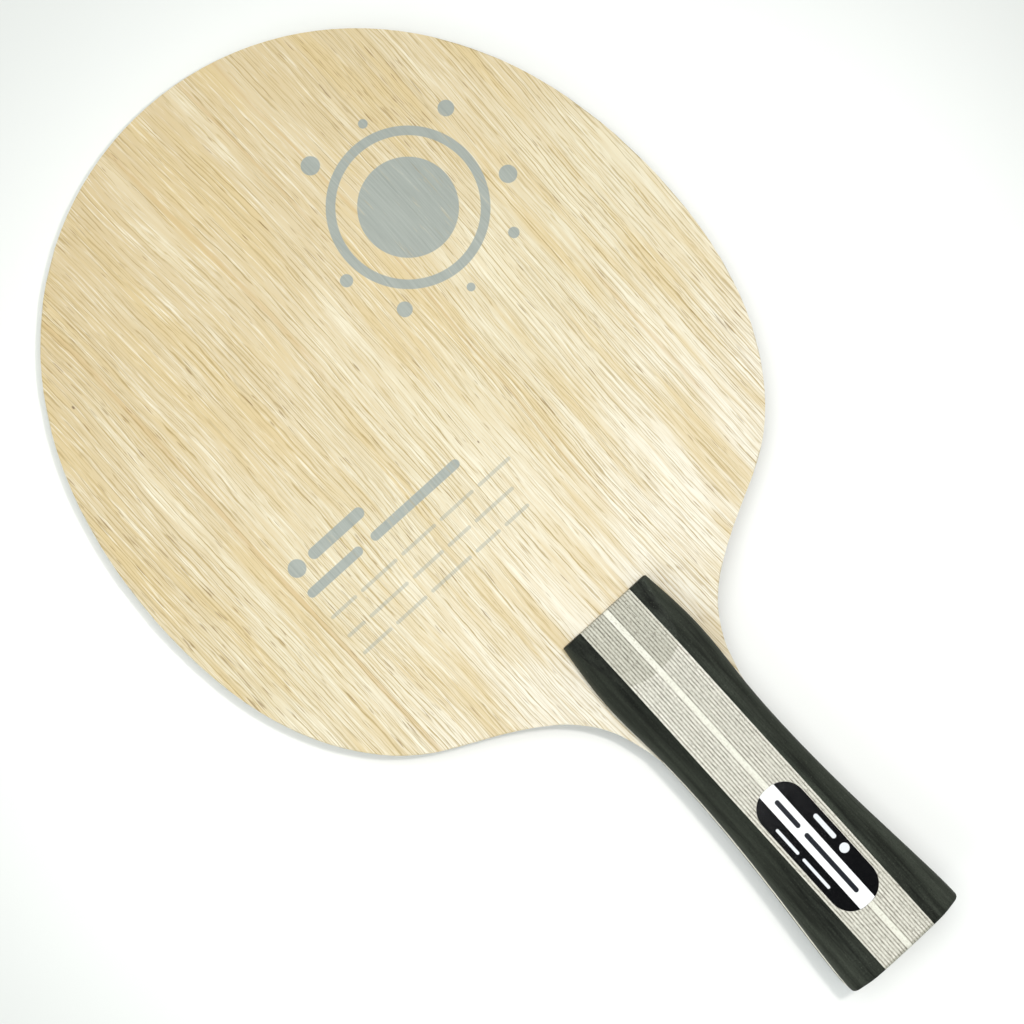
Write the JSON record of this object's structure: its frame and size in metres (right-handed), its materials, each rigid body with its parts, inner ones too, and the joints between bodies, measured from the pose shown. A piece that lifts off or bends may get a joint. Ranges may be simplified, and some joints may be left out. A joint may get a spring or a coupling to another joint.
{
  "type": "table tennis blade",
  "caption": "Bare table-tennis paddle blade: oval laminated wooden head with carbon plies and a flared handle of striped veneer scales with black sides.",
  "frame": {"origin": "centre of the whole blade's box: on the middle plane, on the centre line, halfway between the tip of the head and the butt of the handle", "axes": "+X across the head to the right seen from the front with the head up, +Y along the handle towards the tip of the head, +Z out of the front face, where the badge is"},
  "size_m": [0.1512, 0.2534, 0.0231],
  "materials": {
    "limba_veneer": "fine sanded, unvarnished, with long dark pores",
    "carbon_ply": "woven carbon fibre in resin, sanded edge",
    "inner_veneer": "sanded edge",
    "core_wood": "sanded edge",
    "black_wood": "stained black, smooth sanded",
    "white_veneer": "dyed white, smooth sanded",
    "grey_veneer": "dyed grey, smooth sanded",
    "pale_veneer": "smooth sanded",
    "badge_metal": "satin",
    "badge_white": "printed film",
    "badge_black": "printed film",
    "badge_lens": "clear gloss resin"
  },
  "bodies": {
    "root": {"front_outer_veneer": "limba_veneer", "front_carbon_ply": "carbon_ply", "front_inner_veneer": "inner_veneer", "core": "core_wood", "back_inner_veneer": "inner_veneer", "back_carbon_ply": "carbon_ply", "back_outer_veneer": "limba_veneer", "front_scale_left_block": "black_wood", "front_scale_right_block": "black_wood", "front_scale_centre_stripe": "white_veneer", "front_scale_grey_veneer_1": "grey_veneer", "front_scale_pale_veneer_1": "pale_veneer", "front_scale_grey_veneer_2": "grey_veneer", "front_scale_pale_veneer_2": "pale_veneer", "front_scale_grey_veneer_3": "grey_veneer", "front_scale_pale_veneer_3": "pale_veneer", "front_scale_grey_veneer_4": "grey_veneer", "front_scale_pale_veneer_4": "pale_veneer", "front_scale_grey_veneer_5": "grey_veneer", "front_scale_pale_veneer_5": "pale_veneer", "front_scale_grey_veneer_6": "grey_veneer", "front_scale_pale_veneer_6": "pale_veneer", "front_scale_grey_veneer_7": "grey_veneer", "front_scale_pale_veneer_7": "pale_veneer", "front_scale_grey_veneer_8": "grey_veneer", "front_scale_pale_veneer_8": "pale_veneer", "front_scale_grey_veneer_9": "grey_veneer", "front_scale_pale_veneer_9": "pale_veneer", "back_scale_left_block": "black_wood", "back_scale_right_block": "black_wood", "back_scale_centre_stripe": "white_veneer", "back_scale_grey_veneer_1": "grey_veneer", "back_scale_pale_veneer_1": "pale_veneer", "back_scale_grey_veneer_2": "grey_veneer", "back_scale_pale_veneer_2": "pale_veneer", "back_scale_grey_veneer_3": "grey_veneer", "back_scale_pale_veneer_3": "pale_veneer", "back_scale_grey_veneer_4": "grey_veneer", "back_scale_pale_veneer_4": "pale_veneer", "back_scale_grey_veneer_5": "grey_veneer", "back_scale_pale_veneer_5": "pale_veneer", "back_scale_grey_veneer_6": "grey_veneer", "back_scale_pale_veneer_6": "pale_veneer", "back_scale_grey_veneer_7": "grey_veneer", "back_scale_pale_veneer_7": "pale_veneer", "back_scale_grey_veneer_8": "grey_veneer", "back_scale_pale_veneer_8": "pale_veneer", "back_scale_grey_veneer_9": "grey_veneer", "back_scale_pale_veneer_9": "pale_veneer", "badge_plate": "badge_metal", "badge_white_band": "badge_white", "badge_black_panels": "badge_black", "badge_lens": "badge_lens"}
  },
  "joints": []
}
